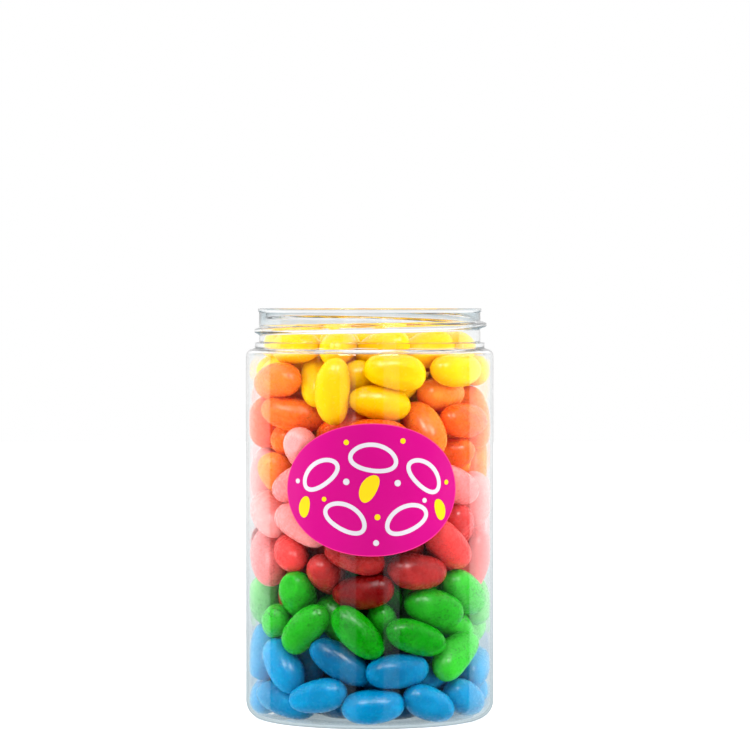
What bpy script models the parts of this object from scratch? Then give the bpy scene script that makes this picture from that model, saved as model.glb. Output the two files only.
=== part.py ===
"""A clear straight-sided jar with a screw neck, six layers of jelly beans and an oval label.

Units are metres, +Z is up and the origin is the middle of the base, on the surface that the
jar stands on. The label faces -Y. An azimuth is turned from there towards +X, in radians.
"""

from math import cos, pi, radians, sin, sqrt, tau

import bmesh
import bpy

# The jar
HEIGHT = 0.1556
BODY_RADIUS = 0.047
WALL = 0.0011
JAR_SEGMENTS = 52

CORNER_RADIUS = 0.0068
CORNER_STEPS = 4
STANDING_RING_INNER = 0.030
PUSH_UP = 0.0016
PUSH_UP_RADIUS = 0.022

SHOULDER_BOTTOM = 0.1375
SHOULDER_TOP = 0.1402
SHOULDER_STEPS = 3

NECK_RADIUS = 0.042
NECK_WALL = 0.0014
COLLAR_RADIUS = 0.0436
COLLAR_TOP = 0.1427
LIP_RADIUS = 0.0424
LIP_HEIGHT = 0.0011
EDGE_ROUND = 0.0004

# The screw thread: a right-hand bead of about one turn, with ends that fade into the neck
THREAD_RADIUS = 0.0444
THREAD_FOOT = 0.0032
THREAD_CREST = 0.0014
THREAD_PITCH = 0.0048
THREAD_START = radians(-130)
THREAD_END = radians(245)
THREAD_START_HEIGHT = 0.1465
THREAD_FADE = radians(12)
THREAD_STEPS = 42
THREAD_SINK = 0.0005

# The label
LABEL_WIDTH = 0.0686
LABEL_HEIGHT = 0.0487
LABEL_MIDDLE = 0.0888
LABEL_TURN = radians(1.1)
LABEL_THICKNESS = 0.0003
LABEL_GAP = 0.0003
LABEL_STEPS = 28

# The beans, as the lumps that they give the outside of the heap
BEAN_LENGTH = 0.025
BEAN_WIDTH = 0.0132
BEANS_AROUND = 10
BEAN_ROW = 0.0122
BEAN_SPACING = 0.0235
MOST_LEAN = radians(42)
MOST_SUNK = 0.0018
MOST_DEPTH = 0.0046

# The heap
CLEARANCE = 0.0004
LAYER_GAP = 0.0003
HEAP_SEGMENTS = 60
ROW_HEIGHT = 0.0041
HIDDEN_RINGS = (24, 8)

# Each layer: name, height of its crowns, how much higher they are at +X than in the middle,
# colour
LAYERS = (
    ("beans_blue", 0.0350, -0.0045, (0.00, 0.31, 0.72)),
    ("beans_green", 0.0590, 0.0000, (0.05, 0.46, 0.01)),
    ("beans_red", 0.0825, 0.0040, (0.62, 0.01, 0.02)),
    ("beans_pink", 0.1050, -0.0060, (0.85, 0.16, 0.20)),
    ("beans_orange", 0.1275, -0.0035, (0.95, 0.20, 0.00)),
    ("beans_yellow", 0.1475, 0.0000, (0.90, 0.56, 0.00)),
)


def clear_scene():
    for obj in list(bpy.data.objects):
        bpy.data.objects.remove(obj, do_unlink=True)


def make_material(name, colour, roughness, alpha=1.0, transmission=0.0):
    material = bpy.data.materials.new(name)
    material.use_nodes = True
    shader = material.node_tree.nodes["Principled BSDF"]
    shader.inputs["Base Color"].default_value = (*colour, 1.0)
    shader.inputs["Roughness"].default_value = roughness
    shader.inputs["Metallic"].default_value = 0.0
    shader.inputs["Alpha"].default_value = alpha
    shader.inputs["Transmission Weight"].default_value = transmission
    return material


def make_object(name, bm, material):
    """The finished object, smooth over its gentle curves and sharp at its edges."""
    bmesh.ops.recalc_face_normals(bm, faces=bm.faces)
    mesh = bpy.data.meshes.new(name)
    bm.to_mesh(mesh)
    bm.free()
    mesh.materials.append(material)
    mesh.shade_smooth()
    mesh.set_sharp_from_angle(angle=radians(35))
    obj = bpy.data.objects.new(name, mesh)
    bpy.context.scene.collection.objects.link(obj)
    return obj


def around(radius, azimuth, height):
    """The point at this azimuth from the front."""
    return (radius * sin(azimuth), -radius * cos(azimuth), height)


def arc(centre, radius, start, end, steps):
    """Points (radius, height) on an arc of the profile, from one angle above +X to another."""
    turns = [start + (end - start) * i / steps for i in range(steps + 1)]
    return [(centre[0] + radius * cos(t), centre[1] + radius * sin(t)) for t in turns]


def turned(profile, segments):
    """The closed body that a profile from axis to axis makes when it is spun about Z."""
    bm = bmesh.new()
    points = [bm.verts.new((radius, 0.0, height)) for radius, height in profile]
    edges = [bm.edges.new(pair) for pair in zip(points, points[1:])]
    bmesh.ops.spin(
        bm,
        geom=points + edges,
        axis=(0, 0, 1),
        cent=(0, 0, 0),
        steps=segments,
        angle=tau,
        use_merge=True,
    )
    bmesh.ops.remove_doubles(bm, verts=bm.verts, dist=1e-6)
    return bm


def stitch(bm, lower, upper):
    """Triangles between two rings that go round the same way and need not match in number.

    Each step takes the shorter diagonal, so that two layers split the surface between them in
    the same way.
    """
    lower_steps = len(lower) if len(lower) > 1 else 0
    upper_steps = len(upper) if len(upper) > 1 else 0
    i = j = 0
    while i < lower_steps or j < upper_steps:
        a, next_a = lower[i % len(lower)], lower[(i + 1) % len(lower)]
        b, next_b = upper[j % len(upper)], upper[(j + 1) % len(upper)]
        shorter = (next_a.co - b.co).length < (next_b.co - a.co).length
        if j == upper_steps or (i < lower_steps and shorter):
            bm.faces.new((a, next_a, b))
            i += 1
        else:
            bm.faces.new((a, next_b, b))
            j += 1


def skinned(rings):
    """The closed body through a row of rings. A ring may be a single point."""
    bm = bmesh.new()
    loops = [[bm.verts.new(point) for point in ring] for ring in rings]
    for lower, upper in zip(loops, loops[1:]):
        stitch(bm, lower, upper)
    for loop in (loops[0], loops[-1]):
        if len(loop) > 1:
            bm.faces.new(loop)
    return bm


def outer_profile():
    """From the middle of the underside, out round the base corner and up to the lip."""
    underside = [(0, PUSH_UP), (PUSH_UP_RADIUS, PUSH_UP), (STANDING_RING_INNER, 0)]
    corner_middle = (BODY_RADIUS - CORNER_RADIUS, CORNER_RADIUS)
    corner = arc(corner_middle, CORNER_RADIUS, -pi / 2, 0, CORNER_STEPS)
    rise = SHOULDER_TOP - SHOULDER_BOTTOM
    shoulder_middle = (BODY_RADIUS - rise, SHOULDER_BOTTOM)
    shoulder = arc(shoulder_middle, rise, 0, radians(78), SHOULDER_STEPS)
    collar = [
        (COLLAR_RADIUS, SHOULDER_TOP + EDGE_ROUND),
        (COLLAR_RADIUS, COLLAR_TOP - EDGE_ROUND),
        (COLLAR_RADIUS - EDGE_ROUND, COLLAR_TOP),
        (NECK_RADIUS, COLLAR_TOP + EDGE_ROUND),
    ]
    lip = [
        (NECK_RADIUS, HEIGHT - LIP_HEIGHT - EDGE_ROUND),
        (LIP_RADIUS, HEIGHT - LIP_HEIGHT),
        (LIP_RADIUS, HEIGHT - EDGE_ROUND),
        (LIP_RADIUS - EDGE_ROUND, HEIGHT),
    ]
    return underside + corner + shoulder + collar + lip


def inner_profile():
    """From the lip down the inside of the neck and the wall to the middle of the floor."""
    bore = NECK_RADIUS - NECK_WALL
    lip = [(bore + EDGE_ROUND, HEIGHT), (bore, HEIGHT - EDGE_ROUND)]
    shoulder = [(bore, SHOULDER_TOP), (BODY_RADIUS - WALL, SHOULDER_BOTTOM - WALL)]
    corner_middle = (BODY_RADIUS - CORNER_RADIUS, CORNER_RADIUS)
    corner = arc(corner_middle, CORNER_RADIUS - WALL, 0, -pi / 2, CORNER_STEPS)
    floor = [
        (STANDING_RING_INNER, WALL),
        (PUSH_UP_RADIUS, PUSH_UP + WALL),
        (0, PUSH_UP + WALL),
    ]
    return lip + shoulder + corner + floor


def thread_ring(azimuth):
    """The thread's section at one azimuth: a foot inside the wall and a narrower crest."""
    height = THREAD_START_HEIGHT + (azimuth - THREAD_START) / tau * THREAD_PITCH
    from_end = min(azimuth - THREAD_START, THREAD_END - azimuth)
    fade = 0.12 + 0.88 * sin(min(from_end / THREAD_FADE, 1) * pi / 2)
    foot = NECK_RADIUS - THREAD_SINK
    crest = NECK_RADIUS + (THREAD_RADIUS - NECK_RADIUS) * fade
    corners = (
        (foot, -THREAD_FOOT / 2),
        (crest, -THREAD_CREST / 2),
        (crest, THREAD_CREST / 2),
        (foot, THREAD_FOOT / 2),
    )
    return [around(radius, azimuth, height + rise) for radius, rise in corners]


def make_thread(material):
    span = THREAD_END - THREAD_START
    turns = [THREAD_START + span * i / THREAD_STEPS for i in range(THREAD_STEPS + 1)]
    thread = make_object("thread", skinned([thread_ring(turn) for turn in turns]), material)
    thread.hide_render = True
    thread.display_type = "WIRE"
    return thread


def make_jar():
    material = make_material("clear_plastic", (0.86, 0.90, 0.92), 0.05, 0.35, 0.9)
    bm = turned(outer_profile() + inner_profile(), JAR_SEGMENTS)
    jar = make_object("jar", bm, material)
    union = jar.modifiers.new("thread", "BOOLEAN")
    union.operation = "UNION"
    union.solver = "EXACT"
    union.object = make_thread(material)


def label_ring(across):
    """The label's section at this distance across from its middle: inside and outside."""
    inside = BODY_RADIUS + LABEL_GAP
    half = 2 * across / LABEL_WIDTH
    rise = LABEL_HEIGHT / 2 * sqrt(max(1 - half**2, 0))
    azimuth = LABEL_TURN + across / inside
    radii = (inside, inside + LABEL_THICKNESS)
    low = [around(radius, azimuth, LABEL_MIDDLE - rise) for radius in radii]
    high = [around(radius, azimuth, LABEL_MIDDLE + rise) for radius in radii]
    return low + high[::-1]


def make_label():
    """An oval that follows the wall. Its steps get closer towards its two round ends."""
    material = make_material("label_paper", (0.72, 0.0, 0.26), 0.45)
    end = LABEL_WIDTH / 2
    steps = [-end * cos(pi * i / LABEL_STEPS) for i in range(1, LABEL_STEPS)]
    make_object("label", skinned([label_ring(across) for across in steps]), material)


def bean_depth(along, across):
    """How far a lying bean's surface is below its crown."""
    reach = (2 * along / BEAN_LENGTH) ** 2 + (2 * across / BEAN_WIDTH) ** 2
    if reach >= 1:
        return BEAN_WIDTH / 2
    return BEAN_WIDTH / 2 * (1 - sqrt(1 - reach))


def heap_depth(along, up, spacing, repeat):
    """How far the heap's surface is below the crowns of its outermost beans.

    The beans lie in staggered rows, each with its own lean and sunk by its own amount, and the
    rows start again after `repeat` beans.
    """
    nearest_row = round(up / BEAN_ROW)
    depth = MOST_DEPTH
    for row in range(nearest_row - 1, nearest_row + 2):
        shift = 0.5 * (row % 2)
        nearest = round(along / spacing - shift)
        for column in range(nearest - 1, nearest + 2):
            turn = 2.4 * (column % repeat) + 1.7 * row
            lean = MOST_LEAN * sin(turn)
            sunk = MOST_SUNK * (0.5 + 0.5 * cos(2 * turn))
            right = along - (column + shift) * spacing
            above = up - row * BEAN_ROW
            length_way = right * cos(lean) + above * sin(lean)
            width_way = above * cos(lean) - right * sin(lean)
            depth = min(depth, sunk + bean_depth(length_way, width_way))
    return depth


def inner_radius(height):
    """The radius of the jar's inside at this height, less the heap's clearance."""
    radius = BODY_RADIUS - WALL
    corner = CORNER_RADIUS - WALL
    if height < CORNER_RADIUS:
        below = min(CORNER_RADIUS - height, corner)
        radius = BODY_RADIUS - CORNER_RADIUS + sqrt(corner**2 - below**2)
    neck = NECK_RADIUS - NECK_WALL
    into_neck = (height - SHOULDER_BOTTOM + WALL) / (SHOULDER_TOP - SHOULDER_BOTTOM + WALL)
    return radius - (radius - neck) * min(max(into_neck, 0), 1) - CLEARANCE


def heap_radius(azimuth, height):
    """The heap's outline. It narrows a row early, to pass the inner edge of the shoulder."""
    room = min(inner_radius(height), inner_radius(height + ROW_HEIGHT))
    spacing = tau * BODY_RADIUS / BEANS_AROUND
    return room - heap_depth(azimuth * BODY_RADIUS, height, spacing, BEANS_AROUND)


def layer_level(crowns, tilt, x, y):
    """The height of a layer's top at x, y."""
    return crowns + tilt * x / BODY_RADIUS - heap_depth(x + crowns, y, BEAN_SPACING, 7)


def edge_point(level, azimuth):
    """Where a layer's top or bottom meets the heap's side."""
    wall_x, wall_y, _ = around(BODY_RADIUS - WALL, azimuth, 0)
    x, y, _ = around(heap_radius(azimuth, level(wall_x, wall_y)), azimuth, 0)
    return x, y, level(x, y)


def azimuths(count, shift=0):
    return [tau * (i + shift) / count for i in range(count)]


def disc_rings(level, lift, counts):
    """Rings of so many points each on a layer's top or bottom, from its edge to its middle.

    All are in proportion to their numbers of points, so the points are evenly spread.
    """
    rings = []
    for count in counts:
        ring = []
        for azimuth in azimuths(count):
            x, y, _ = edge_point(level, azimuth)
            x, y = x * count / HEAP_SEGMENTS, y * count / HEAP_SEGMENTS
            ring.append((x, y, level(x, y) + lift))
        rings.append(ring)
    rings.append([(0, 0, level(0, 0) + lift)])
    return rings


def side_rings(bottom, top):
    """Rings up the side of a layer. Every second one is turned by half a step."""
    rows = round((top(0, 0) - bottom(0, 0)) / ROW_HEIGHT)
    rings = []
    for row in range(1, rows):
        ring = []
        for azimuth in azimuths(HEAP_SEGMENTS, 0.5 * (row % 2)):
            under = edge_point(bottom, azimuth)[2] + LAYER_GAP / 2
            over = edge_point(top, azimuth)[2] - LAYER_GAP / 2
            height = under + (over - under) * row / rows
            ring.append(around(heap_radius(azimuth, height), azimuth, height))
        rings.append(ring)
    return rings


def make_layer(name, colour, bottom, top, top_counts):
    """One colour of beans, from the level of the layer below it to its own."""
    under = disc_rings(bottom, LAYER_GAP / 2, (HEAP_SEGMENTS, *HIDDEN_RINGS))
    over = disc_rings(top, -LAYER_GAP / 2, (HEAP_SEGMENTS, *top_counts))
    rings = under[::-1] + side_rings(bottom, top) + over
    make_object(name, skinned(rings), make_material(name, colour, 0.28))


def make_heap():
    def bottom(x, y):
        return PUSH_UP + WALL + CLEARANCE

    for name, crowns, tilt, colour in LAYERS:

        def top(x, y, crowns=crowns, tilt=tilt):
            return layer_level(crowns, tilt, x, y)

        seen_from_above = name == LAYERS[-1][0]
        counts = range(HEAP_SEGMENTS - 6, 0, -6) if seen_from_above else HIDDEN_RINGS
        make_layer(name, colour, bottom, top, counts)
        bottom = top


def main():
    clear_scene()
    make_jar()
    make_label()
    make_heap()


main()
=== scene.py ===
"""A clear screw-neck jar filled with jelly beans in six coloured layers, with an oval label.

Units are metres, +Z is up and the origin is the middle of the base. The label faces -Y. An azimuth
is turned from there towards +X. The clear jar, the beans of each colour and the label each stand
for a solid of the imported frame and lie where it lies. The cores, in the middle of the heap, are
only there to fill what the beans hide.
"""

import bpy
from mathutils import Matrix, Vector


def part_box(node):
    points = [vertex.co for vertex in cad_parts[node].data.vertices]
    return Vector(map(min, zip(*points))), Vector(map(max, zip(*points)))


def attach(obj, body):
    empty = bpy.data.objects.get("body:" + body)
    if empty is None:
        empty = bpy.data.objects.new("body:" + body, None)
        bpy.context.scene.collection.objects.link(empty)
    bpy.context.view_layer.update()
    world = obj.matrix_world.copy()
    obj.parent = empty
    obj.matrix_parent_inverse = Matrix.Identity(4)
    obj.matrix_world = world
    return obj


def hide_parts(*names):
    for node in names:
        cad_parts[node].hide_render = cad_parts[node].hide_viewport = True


bl_info = {
    "name": "Jelly Bean Jar",
    "version": (1, 0, 0),
    "blender": (4, 5, 0),
    "location": "3D View > Sidebar > Bean Jar",
    "description": "Makes a clear jar, its layers of jelly beans, its label and a studio for it",
    "category": "Object",
}

from math import asin, atan2, cos, hypot, pi, radians, sin, sqrt, tau

import bmesh
import bpy
import numpy as np
from bpy.props import FloatProperty, FloatVectorProperty, IntProperty, PointerProperty
from mathutils import Matrix, Vector

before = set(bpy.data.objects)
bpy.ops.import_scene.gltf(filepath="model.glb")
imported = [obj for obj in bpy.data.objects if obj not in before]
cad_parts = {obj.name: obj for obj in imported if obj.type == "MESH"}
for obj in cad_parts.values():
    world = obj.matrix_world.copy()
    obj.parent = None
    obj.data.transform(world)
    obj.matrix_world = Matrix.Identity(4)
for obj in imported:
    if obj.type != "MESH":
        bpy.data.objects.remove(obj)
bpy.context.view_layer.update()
BODY = "root"

# The jar, from its solid
JAR_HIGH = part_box("jar")[1]
HEIGHT = JAR_HIGH.z
BODY_RADIUS = JAR_HIGH.x
CORNER_RADIUS = 0.0068
STANDING_RING_INNER = 0.030
FLOOR_STEP = 0.001
PUSH_UP = 0.0016
PUSH_UP_RADIUS = 0.022
SHOULDER_BOTTOM = HEIGHT - 0.0181
SHOULDER_TOP = HEIGHT - 0.0154
SHOULDER_RISE = SHOULDER_TOP - SHOULDER_BOTTOM
SHOULDER_TURN = radians(78)
NECK_RADIUS = 0.042
NECK_WALL = 0.0014
COLLAR_RADIUS = 0.0436
COLLAR_TOP = HEIGHT - 0.0129
LIP_RADIUS = 0.0424
LIP_HEIGHT = 0.0011
EDGE_ROUND = 0.0004
THROAT_ROUND = 0.001
NECK_STEP = 0.0002

# The middles of the jar's two large round corners: radius and height
BASE_CORNER = (BODY_RADIUS - CORNER_RADIUS, CORNER_RADIUS)
SHOULDER_CORNER = (BODY_RADIUS - SHOULDER_RISE, SHOULDER_BOTTOM)

# The screw thread: one right-hand turn whose ends fade into the neck
THREAD_RISE = 0.0024
THREAD_FOOT = 0.0034
THREAD_CREST = 0.0009
THREAD_PITCH = 0.0048
THREAD_START = radians(-130)
THREAD_END = radians(262)
THREAD_START_HEIGHT = HEIGHT - 0.0091
THREAD_FADE = radians(80)

# The label, from its solid
LABEL_LOW, LABEL_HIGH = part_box("label")
LABEL_RADIUS = BODY_RADIUS + 0.00005
LABEL_THICKNESS = 0.0001
LABEL_MIDDLE = (LABEL_LOW.z + LABEL_HIGH.z) / 2
LABEL_HEIGHT = LABEL_HIGH.z - LABEL_LOW.z
LABEL_LEFT, LABEL_RIGHT = (asin(side.x / -LABEL_LOW.y) for side in (LABEL_LOW, LABEL_HIGH))
LABEL_TURN = (LABEL_LEFT + LABEL_RIGHT) / 2
LABEL_WIDTH = (LABEL_RIGHT - LABEL_LEFT) * LABEL_RADIUS
LABEL_SEGMENTS = 160
LABEL_RINGS = 12
LABEL_FIRST_RING = 0.02
EDGE_WIDTH = 0.0002
EDGE_FOOT = -0.00002
PRINT_THICKNESS = 0.00005
PRINT_FOOT = LABEL_THICKNESS / 2
PRINT_RISE = LABEL_THICKNESS + PRINT_THICKNESS
EDGE_RISE = LABEL_THICKNESS + PRINT_THICKNESS / 2

# The layers: name, how many beans, height of the top at the middle, how much higher it is at +X
LAYERS = (
    ("blue", 52, 0.0330, -0.0045),
    ("green", 40, 0.0570, 0.0000),
    ("red", 40, 0.0800, 0.0035),
    ("pink", 40, 0.1025, -0.0055),
    ("orange", 41, 0.1255, -0.0035),
    ("yellow", 39, 0.1465, 0.0000),
)

# The beans that lie against the wall at the front. Each is placed by its azimuth in degrees, its
# height in millimetres, its lean and its turn out of the wall in degrees, and its distance from
# the wall in millimetres. Some have a tone too: 0 is the deepest and 1 the palest. These tones
# are partly the beans' own differences and partly painted light and shade: each bean is made as
# bright or as dark as the light leaves it where it lies. From 1 to 2 there is more and more
# painted white reflection, for the white side panels mirrored over the beans at the jar's sides.
FRONT_BEANS = {
    "blue": (
        (1, 8.5, 3, 0, 0, 0.7),
        (-29, 12, 13, 0, 0, 0.65),
        (33, 9.5, -38, 0, 1, 0.6),
        (63, 10, -5, 0, 0, 0.7),
        (92, 9.5, 20, 40, 0, 0.9),
        (15, 22, 14, 0, 0, 0.3),
        (-16, 24.5, -34, 0, 3, 0.1),
        (-54, 20, -72, 0, 0, 0.8),
        (-88, 27, -75, 0, 0, 1.0),
        (-92, 8.5, -15, 20, 0, 1.0),
        (88, 21, 40, 0, 0, 0.9),
        (50, 17.5, 10, 0, 7, 0.5),
        (-53, 8.5, -20, 0, 3, 0.6),
    ),
    "green": (
        (-34, 34, 48, 0, 0, 0.45),
        (-6, 37, -69, 0, 0, 0.1),
        (25, 34.5, -17, 0, 0, 0.05),
        (37, 44.5, -12, 0, 0, 0.35),
        (55, 24.5, 56, 0, 0, 1.2),
        (-48, 50.5, 12, 34, 0, 0.6),
        (-62, 41, 10, 28, 2, 0.9),
        (-82, 45, 50, 0, 0, 2.0),
        (67, 50, -20, 0, 1, 1.2),
        (88, 44, 60, 0, 0, 2.0),
        (70, 37, -20, 20, 4, 1.0),
        (92, 33.5, 30, 30, 0, 2.0),
    ),
    "red": (
        (-70, 63, -72, 0, 0, 2.0),
        (-50, 65, 10, 42, 0, 1.0),
        (-27, 54, 70, 66, 0, 0.45),
        (-9, 51.5, -4, 15, 3, 0.0),
        (-10, 63, -6, 0, 0, 0.3),
        (27, 58, -22, 0, 1, 0.3),
        (48, 66.5, -52, 0, 0, 1.0),
        (70, 74.5, -48, 0, 2, 0.8),
        (82, 59.5, 75, 0, 0, 2.0),
        (94, 70.5, 40, 0, 0, 2.0),
        (-62, 50, 65, 0, 5, 0.3),
        (-27, 68, 20, 0, 8, 0.2),
        (17, 68, -10, 0, 7, 0.1),
    ),
    "pink": (
        (-44, 94, 62, 0, 0, 0.1),
        (-42, 102.5, 10, 45, 0, 1.0),
        (-88, 90.5, 80, 0, 0, 0.9),
        (-75, 76.5, -38, 0, 0, 0.8),
        (-64, 84, 10, 30, 4, 0.7),
        (-43, 76.5, -46, 0, 1, 0.4),
        (54, 88, -50, 0, 0, 0.0),
        (84, 84.5, -62, 0, 0, 0.9),
    ),
    "orange": (
        (-60, 127, -10, 0, 0, 0.6),
        (-52, 115.5, -8, -42, 0, 0.4),
        (-66, 96, 60, 50, 0, 1.2),
        (-64, 104, 0, 30, 5, 0.4),
        (3, 113.5, -3, 0, 0, 0.2),
        (-21, 110.5, 25, 0, 6, 0.1),
        (31, 114.5, -72, 35, 0, 0.6),
        (63, 116.5, -10, 20, 0, 0.15),
        (56, 124, -3, 0, 3, 0.8),
        (60, 99, 10, 75, 1, 0.25),
        (84, 101, 60, 0, 3, 0.7),
        (96, 98, 70, 0, 0, 0.8),
        (90, 113, 80, 0, 0, 0.7),
    ),
    "yellow": (
        (-20, 125.5, 92, 0, 0, 0.4),
        (7, 122.5, -4, 0, 3, 0.2),
        (12, 130, 4, 0, 3, 0.4),
        (54, 132, -8, 0, 0, 0.8),
        (-42, 132, -80, 0, 7, 0.4),
        (-85, 137.5, 10, 0, 0),
        (7, 140.5, 3, 40, 1),
        (52, 139.5, 5, 20, 1),
        (75, 140.5, 0, 0, 1),
        (-28, 140.5, 0, 80, 1),
        (-49, 139, 10, 0, 1),
        (-95, 139, 0, 20, 1),
    ),
}

# How the beans differ: their length and width as shares of the middling one, how far they bend,
# how much fuller than an oval they are, and how uneven
FRONT_LENGTHS = (0.95, 1.06)
FRONT_WIDTHS = (0.95, 1.05)
OTHER_LENGTHS = (0.90, 1.07)
OTHER_WIDTHS = (0.93, 1.06)
BENDS = (0.0002, 0.0011)
FULLNESS = (0.10, 0.24)
BEND_MIDDLE = 0.35
FATTER_END = 0.07
LUMP_RATES = (1.5, 3.0)
LUMP_HEIGHT = 0.012
FLATTEST = 0.92

# How the beans settle. A time is a share of all the steps. HOLDS says how strongly the front
# beans are drawn to their places, up to each time.
SETTLING_STEPS = 600
BALL_PLACES = np.array((-1, -0.68, -0.34, 0, 0.34, 0.68, 1))
OUTLINE_STEPS = 61
HEAP_TOP = HEIGHT - 0.0083
LAYER_MARGIN = 0.005
TRIES = 24
ROOM_WEIGHTS = (1, 1, 1.25)
LYING_WEIGHTS = (1, 1, 0.5)
STEEP = 0.9
FIRST_SIZE = 0.62
GROWTH = 0.38
GROWN_TIME = 0.55
NEIGHBOUR_STEPS = 4
NEIGHBOUR_MARGIN = 0.001
PUSH_SHARE = 1.25
CROWD = 2.6
HOLDS = ((0.6, 0.30), (0.85, 0.10), (1.0, 0.03))
LAYER_PULL = 0.15
LAYER_PULL_END = 0.75
FALL = 0.00002
FALL_START = 0.25
FALL_FADE = 0.2
SHAKE = 0.00006
SHAKE_TURN = 160
SHAKE_END = 0.5
FRONT_ROOM = 0.0135
MOST_MEAN_OVERLAP = 0.0004
PLACE_DIGITS = 9
TURN_DIGITS = 8

# What the beans meet: the room that the wall's curve takes from a level bean, how far they may
# sink into the raised middle of the floor, how far under the shoulder their slope into the neck
# starts, how far up that slope the wall still counts, and the gap that is left to the wall
WALL_CURVE = 0.0009
FLOOR_SINK = 0.0012
SLOPE_DROP = 0.0011
WALL_OVERRUN = 0.0015
WALL_GAP = 0.0002

# Against division by nothing
TINY = 1e-12
NEAR_AXIS = 1e-9

# The core that the inner beans are left out for
CORE_RADIUS = 0.0155
CORE_LOW = 0.016
CORE_HIGH = 0.124
LEFT_OUT_RADIUS = 0.0175
CORE_GAP = 0.0003
CORE_LUMP = 0.0016
CORE_LEVEL = 0.002
LEAST_LEVELS = 6
CORE_STEPS = 48


def measure_setting(name, description, default, low, high, unit="LENGTH"):
    return FloatProperty(
        name=name,
        description=description,
        default=default,
        min=low,
        max=high,
        unit=unit,
    )


def colour_setting(name, description, default):
    return FloatVectorProperty(
        name=name,
        description=description,
        default=default,
        min=0,
        max=1,
        subtype="COLOR",
    )


def shell_colour(name, default):
    return colour_setting(name.capitalize(), f"Shell colour of the {name} beans", default)


class JarSettings(bpy.types.PropertyGroup):
    """The clear jar."""

    wall: measure_setting("Wall", "Thickness of the body's wall", 0.0011, 0.0006, 0.002)
    tint: colour_setting("Tint", "Colour of the clear plastic", (0.975, 0.987, 0.992))
    refraction: FloatProperty(
        name="Refractive index",
        description="How strongly the plastic bends and mirrors light",
        default=1.5,
        min=1.3,
        max=1.7,
    )
    segments: IntProperty(
        name="Segments",
        description="Steps round the jar",
        default=256,
        min=64,
        max=512,
    )


class BeanSettings(bpy.types.PropertyGroup):
    """The jelly beans."""

    length: measure_setting("Length", "Length of a middling bean", 0.0245, 0.015, 0.03)
    width: measure_setting("Width", "Width of a middling bean", 0.0134, 0.008, 0.018)
    seed: IntProperty(
        name="Seed",
        description="Another seed gives another heap",
        default=11,
        min=0,
    )
    blue: shell_colour("blue", (0.0, 0.21, 0.48))
    green: shell_colour("green", (0.0, 0.30, 0.0))
    red: shell_colour("red", (0.40, 0.002, 0.003))
    pink: shell_colour("pink", (0.90, 0.23, 0.225))
    orange: shell_colour("orange", (0.93, 0.10, 0.002))
    yellow: shell_colour("yellow", (0.94, 0.49, 0.0))


class LabelSettings(bpy.types.PropertyGroup):
    """The oval label."""

    paper: colour_setting("Paper", "Colour of the label", (0.46, 0.0, 0.17))
    edge: colour_setting("Edge", "Colour of the cut edge", (0.75, 0.03, 0.22))
    white_ink: colour_setting("White ink", "Colour of the outlined beans", (0.56, 0.53, 0.58))
    yellow_ink: colour_setting("Yellow ink", "Colour of the filled beans", (0.72, 0.50, 0.006))
    stroke: measure_setting("Stroke", "Width of the printed outlines", 0.0016, 0.0005, 0.003)


class StageSettings(bpy.types.PropertyGroup):
    """The floor, the lights and the camera."""

    floor: colour_setting("Floor", "Colour of the floor", (0.90, 0.90, 0.90))
    key_power: measure_setting(
        "Key power", "Power of each of the two high front lights", 6, 0, 100, "POWER"
    )
    fill_power: measure_setting(
        "Fill power", "Power of the broad low lights beside the jar", 17.5, 0, 60, "POWER"
    )
    surroundings: FloatProperty(
        name="Surroundings",
        description="Brightness of the white panels round the jar",
        default=1.0,
        min=0,
        max=3,
    )


# Making shapes


def around(radius, azimuth, height):
    """The point at this azimuth from the front."""
    return Vector((radius * sin(azimuth), -radius * cos(azimuth), height))


def in_scene(name, data):
    """A new object of the scene."""
    obj = bpy.data.objects.new(name, data)
    bpy.context.scene.collection.objects.link(obj)
    return obj


def finished(name, bm, *materials):
    """The object made from bm, shaded smooth."""
    mesh = bpy.data.meshes.new(name)
    bm.to_mesh(mesh)
    bm.free()
    for material in materials:
        mesh.materials.append(material)
    mesh.shade_smooth()
    return in_scene(name, mesh)


def place(piece, node):
    """The piece rides on the jar's body and stands for this solid."""
    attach(piece, BODY)
    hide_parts(node)


def arc(centre, radius, start, end, steps):
    """Points (radius, height) on an arc of a profile, from one angle above +X to another."""
    turns = [start + (end - start) * i / steps for i in range(steps + 1)]
    return [(centre[0] + radius * cos(t), centre[1] + radius * sin(t)) for t in turns]


def straight(start, end, step):
    """Points from start to end, both left out, about one step apart."""
    count = round(hypot(end[0] - start[0], end[1] - start[1]) / step)
    shares = [i / count for i in range(1, count)]
    return [tuple(a + (b - a) * share for a, b in zip(start, end)) for share in shares]


def all_round(steps):
    """Angles in even steps, once round."""
    return [tau * i / steps for i in range(steps)]


def loft(bm, loops, material=0, ends=False):
    """Faces from each loop to the next, and from the last to the first or over both ends."""
    rows = [[bm.verts.new(point) for point in loop] for loop in loops]
    pairs = list(zip(rows, rows[1:])) + ([] if ends else [(rows[-1], rows[0])])
    made = []
    for first, second in pairs:
        for i in range(len(first)):
            j = (i + 1) % len(first)
            made.append(bm.faces.new((first[i], first[j], second[j], second[i])))
    if ends:
        made += [bm.faces.new(rows[0][::-1]), bm.faces.new(rows[-1])]
    for face in made:
        face.material_index = material


# Making materials


def grey(brightness):
    return (brightness, brightness, brightness)


def dimmed(colour, share):
    return tuple(channel * share for channel in colour)


def new_material(name):
    material = bpy.data.materials.new(name)
    material.use_nodes = True
    return material, material.node_tree, material.node_tree.nodes["Principled BSDF"]


def feed(tree, node, values):
    """Gives these values to the node's inputs, as numbers or as links."""
    for name, value in values.items():
        if isinstance(value, bpy.types.NodeSocket):
            tree.links.new(value, node.inputs[name])
        else:
            node.inputs[name].default_value = value


def add(tree, kind, values=None, **settings):
    """A shader node with these settings, fed with these values."""
    node = tree.nodes.new("ShaderNode" + kind)
    for name, setting in settings.items():
        setattr(node, name, setting)
    feed(tree, node, values or {})
    return node


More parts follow.
